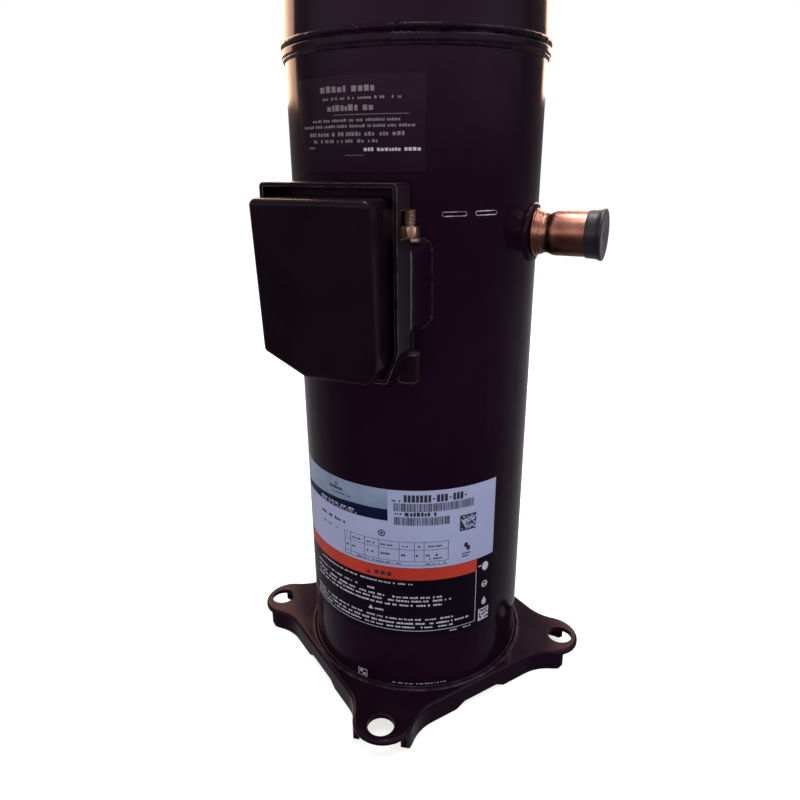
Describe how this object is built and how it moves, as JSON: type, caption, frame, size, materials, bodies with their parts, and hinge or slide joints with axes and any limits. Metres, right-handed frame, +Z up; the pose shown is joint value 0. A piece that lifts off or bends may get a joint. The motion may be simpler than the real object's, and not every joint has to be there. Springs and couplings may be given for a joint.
{
  "type": "scroll compressor",
  "caption": "Upright hermetic scroll compressor: tall black steel shell on a square eared foot, with side terminal box, copper suction stub and top discharge stub.",
  "frame": {"origin": "centre of the four foot holes, on the top face of the foot ears", "axes": "+Z up the shaft, X and Y along the sides of the square foot; the suction stub points out 32 degrees from +X towards +Y"},
  "size_m": [0.2429, 0.2622, 0.5967],
  "materials": {
    "black_enamel": "gloss baked enamel, slightly purple brown",
    "copper_tube": "bright drawn copper, lightly oxidised",
    "cap_rubber": "satin black rubber",
    "box_plastic": "glossy moulded black plastic",
    "gasket_foam": "closed cell foam",
    "white_label": "printed film, white with orange and black panels",
    "dark_label": "printed dark film",
    "brass_hardware": "yellow plated",
    "plated_steel": "zinc plated",
    "terminal_glass": "fused glass",
    "moulded_plastic": "matt moulding",
    "cast_iron": "machined grey iron",
    "bronze": "bearing bronze",
    "ground_steel": "ground",
    "lamination_steel": "stacked laminations",
    "winding_copper": "varnished copper wire",
    "die_cast_aluminium": "die cast",
    "protector_can": "drawn steel can",
    "magnet_ferrite": "ferrite"
  },
  "bodies": {
    "shell": {"shell_tube": "black_enamel", "top_cap": "black_enamel", "bottom_cap": "black_enamel", "partition_plate": "black_enamel", "base_plate": "black_enamel", "suction_collar": "black_enamel", "suction_fitting": "copper_tube", "suction_baffle": "plated_steel", "discharge_collar": "black_enamel", "discharge_fitting": "copper_tube", "lifting_lug": "black_enamel", "terminal_fence": "black_enamel", "terminal_box_gasket": "gasket_foam", "terminal_box_base": "box_plastic", "conduit_plug": "box_plastic", "earth_stud": "brass_hardware", "hermetic_terminal": "plated_steel", "terminal_glass_seals": "terminal_glass", "terminal_pins": "brass_hardware", "terminal_block": "moulded_plastic", "terminal_nuts": "brass_hardware", "nameplate_label": "white_label", "upper_label": "dark_label", "main_bearing_housing": "cast_iron", "main_bearing_bush": "bronze", "lower_bearing_bracket": "cast_iron", "lower_bearing_bush": "bronze", "lower_thrust_plate": "plated_steel", "lower_bearing_screws": "plated_steel", "stator_core": "lamination_steel", "stator_winding": "winding_copper", "lead_plug": "moulded_plastic", "motor_leads": "winding_copper", "motor_protector": "protector_can", "sump_magnet": "magnet_ferrite", "scroll_guide_sleeves": "plated_steel", "scroll_guide_bolts": "plated_steel", "valve_retainer": "plated_steel"},
    "shaft": {"crankshaft": "ground_steel", "rotor_core": "lamination_steel", "rotor_cage": "die_cast_aluminium", "upper_counterweight": "bronze", "lower_counterweight": "ground_steel", "drive_bushing": "ground_steel", "oil_pickup": "plated_steel"},
    "orbiting_scroll": {"orbiting_scroll": "cast_iron", "drive_bearing_bush": "bronze"},
    "thrust_washer": {"thrust_washer": "ground_steel"},
    "oldham_ring": {"oldham_ring": "die_cast_aluminium"},
    "non_orbiting_scroll": {"non_orbiting_scroll": "cast_iron"},
    "floating_seal": {"floating_seal": "cast_iron"},
    "discharge_valve_disc": {"discharge_valve_disc": "plated_steel"},
    "terminal_cover": {"terminal_cover": "box_plastic"},
    "suction_cap": {"suction_cap": "cap_rubber"},
    "discharge_cap": {"discharge_cap": "cap_rubber"}
  },
  "joints": [
    {"name": "shaft_spin", "type": "hinge", "parent": "shell", "child": "shaft", "pos_m": [0, 0, 0.2], "axis": [0, 0, 1], "continuous": true},
    {"name": "scroll_orbit", "type": "hinge", "parent": "shaft", "child": "orbiting_scroll", "pos_m": [0.0055, 0, 0.39], "axis": [0, 0, 1], "continuous": true},
    {"name": "washer_turn", "type": "hinge", "parent": "shaft", "child": "thrust_washer", "pos_m": [0.00275, 0, 0.3845], "axis": [0, 0, 1], "continuous": true},
    {"name": "oldham_guide", "type": "hinge", "parent": "thrust_washer", "child": "oldham_ring", "pos_m": [0.0055, 0, 0.3743], "axis": [0, 0, 1], "continuous": true},
    {"name": "scroll_float", "type": "slide", "parent": "shell", "child": "non_orbiting_scroll", "axis": [0, 0, 1], "range_m": [0, 0.0005]},
    {"name": "seal_float", "type": "slide", "parent": "non_orbiting_scroll", "child": "floating_seal", "axis": [0, 0, 1], "range_m": [0, 0.001]},
    {"name": "valve_lift", "type": "slide", "parent": "shell", "child": "discharge_valve_disc", "axis": [0, 0, 1], "range_m": [0, 0.004]},
    {"name": "cover_pull", "type": "slide", "parent": "shell", "child": "terminal_cover", "axis": [0.5299, -0.848, 0], "range_m": [0, 0.06]},
    {"name": "suction_cap_pull", "type": "slide", "parent": "shell", "child": "suction_cap", "axis": [0.848, 0.5299, 0], "range_m": [0, 0.06]},
    {"name": "discharge_cap_pull", "type": "slide", "parent": "shell", "child": "discharge_cap", "axis": [0, 0, 1], "range_m": [0, 0.06]}
  ],
  "couplings": [
    {"joint": "scroll_orbit", "follows": "shaft_spin", "ratio": -1},
    {"joint": "washer_turn", "follows": "shaft_spin", "ratio": -2},
    {"joint": "oldham_guide", "follows": "shaft_spin", "ratio": 1}
  ]
}
